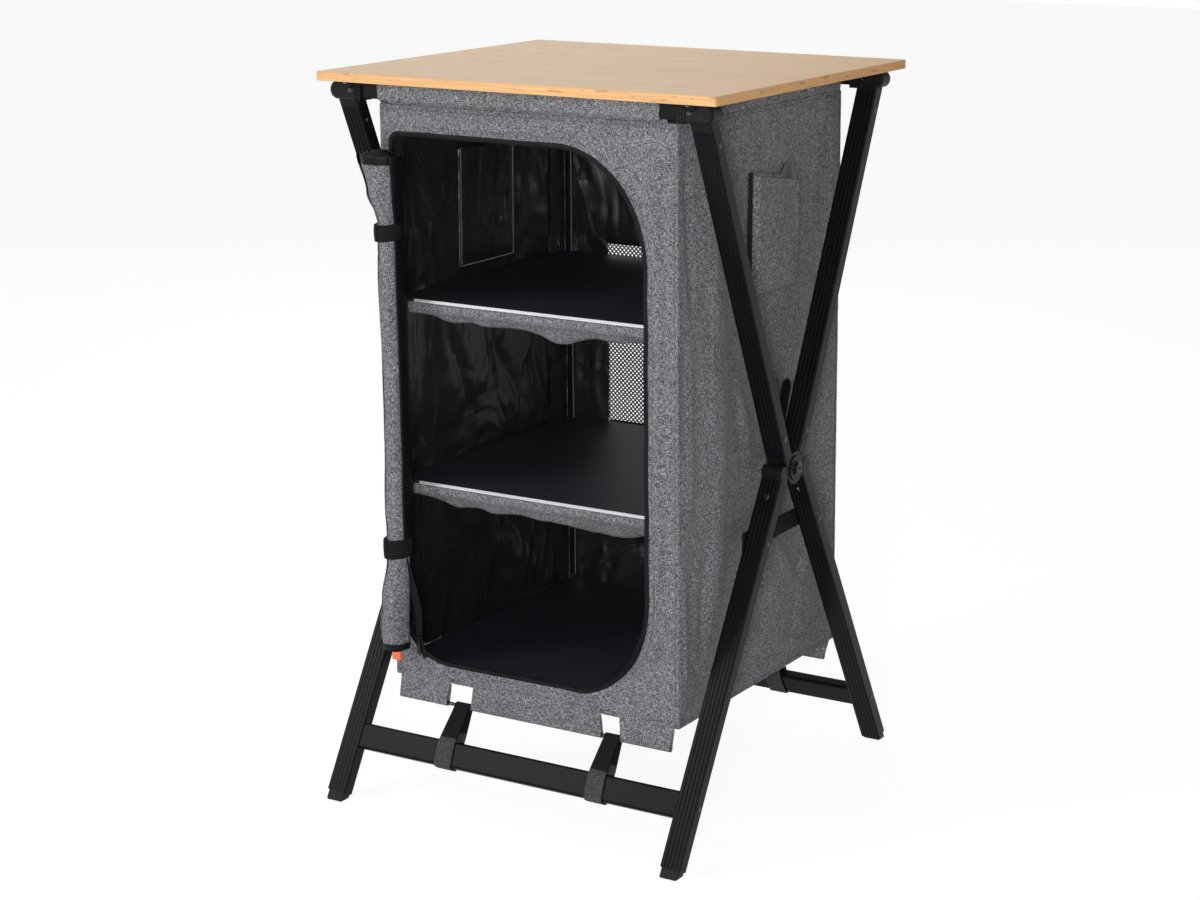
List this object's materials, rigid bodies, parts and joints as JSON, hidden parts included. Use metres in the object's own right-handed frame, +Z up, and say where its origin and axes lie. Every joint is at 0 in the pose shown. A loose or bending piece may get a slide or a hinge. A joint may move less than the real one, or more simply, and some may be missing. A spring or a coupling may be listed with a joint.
{
  "type": "camping cupboard",
  "caption": "Folding camping cupboard: a cloth cabinet with shelves and a roll-up door, hung in crossed legs under a wooden top.",
  "frame": {"origin": "on the floor under the middle of the frame, below the leg pivots", "axes": "+Z up, the door faces -Y, +X to the right seen from the front"},
  "size_m": [0.6, 0.626, 1],
  "materials": {
    "leg_black": "satin black anodised",
    "hub_black": "fine moulded grain",
    "steel_dark": "dark plated",
    "steel_bright": "bright plated",
    "wood_top": "clear satin varnish",
    "cloth_grey": "heather weave, black coated inside",
    "webbing": "ribbed black webbing",
    "net": "open weave",
    "board_black": "smooth covered board",
    "edge_silver": "silver strip",
    "zip_black": "coil zip",
    "tab_orange": "plain woven tab"
  },
  "bodies": {
    "cupboard": {"front_panel": "cloth_grey", "side_panel_right": "cloth_grey", "side_panel_left": "cloth_grey", "back_panel": "cloth_grey", "net_window": "net", "roof_cloth": "cloth_grey", "floor_cloth": "cloth_grey", "upper_shelf_sling": "cloth_grey", "lower_shelf_sling": "cloth_grey", "upper_shelf_board": "board_black", "lower_shelf_board": "board_black", "floor_board": "board_black", "board_edge_strips": "edge_silver", "zip_tape": "zip_black", "zip_slider": "zip_black", "rolled_door": "cloth_grey", "door_ties": "webbing", "front_hem_tunnels": "cloth_grey", "rear_hem_tunnels": "cloth_grey", "hem_rods": "steel_dark", "side_pocket": "cloth_grey", "inner_pocket": "cloth_grey", "side_tab": "tab_orange", "top_side_cloth": "cloth_grey", "front_bottom_straps": "webbing", "rear_bottom_straps": "webbing", "spreader_straps": "webbing"},
    "outer_frame": {"front_top_bar": "leg_black", "front_top_sleeve": "cloth_grey", "front_top_bracket_left": "hub_black", "front_top_bracket_right": "hub_black", "front_upper_leg_left": "leg_black", "front_upper_leg_right": "leg_black", "rear_lower_leg_left": "leg_black", "rear_lower_leg_right": "leg_black", "outer_hub_left": "hub_black", "outer_hub_right": "hub_black", "rear_bottom_bar": "leg_black", "rear_feet": "hub_black", "outer_frame_rivets": "steel_dark"},
    "inner_frame": {"rear_top_bar": "leg_black", "rear_top_sleeve": "cloth_grey", "rear_top_bracket_left": "hub_black", "rear_top_bracket_right": "hub_black", "rear_upper_leg_left": "leg_black", "rear_upper_leg_right": "leg_black", "front_lower_leg_left": "leg_black", "front_lower_leg_right": "leg_black", "inner_hub_left": "hub_black", "inner_hub_right": "hub_black", "front_bottom_bar": "leg_black", "front_feet": "hub_black", "inner_frame_rivets": "steel_dark", "pivot_bolts": "steel_dark", "lock_plate_left": "steel_dark", "lock_plate_right": "steel_dark"},
    "tabletop": {"tabletop": "wood_top", "tabletop_lips": "steel_bright", "tabletop_screws": "steel_bright"},
    "zip_pull": {"zip_pull": "zip_black"}
  },
  "joints": [
    {"name": "outer_frame_fold", "type": "hinge", "parent": "cupboard", "child": "outer_frame", "pos_m": [0, 0, 0.48], "axis": [-1, 0, 0], "range_deg": [0, 22], "deforming": ["rear_bottom_straps", "spreader_straps", "top_side_cloth"]},
    {"name": "inner_frame_fold", "type": "hinge", "parent": "cupboard", "child": "inner_frame", "pos_m": [0, 0, 0.48], "axis": [1, 0, 0], "range_deg": [0, 22], "deforming": ["front_bottom_straps"]},
    {"name": "tabletop_lift", "type": "slide", "parent": "cupboard", "child": "tabletop", "axis": [0, 0, 1], "range_m": [0, 0.1]},
    {"name": "zip_pull_swing", "type": "hinge", "parent": "cupboard", "child": "zip_pull", "pos_m": [-0.1835, -0.22035, 0.22688], "axis": [-1, 0, 0], "range_deg": [0, 110]}
  ],
  "couplings": [
    {"joint": "inner_frame_fold", "follows": "outer_frame_fold", "ratio": 1},
    {"joint": "tabletop_lift", "follows": "outer_frame_fold", "m_per_rad": 0.26}
  ]
}
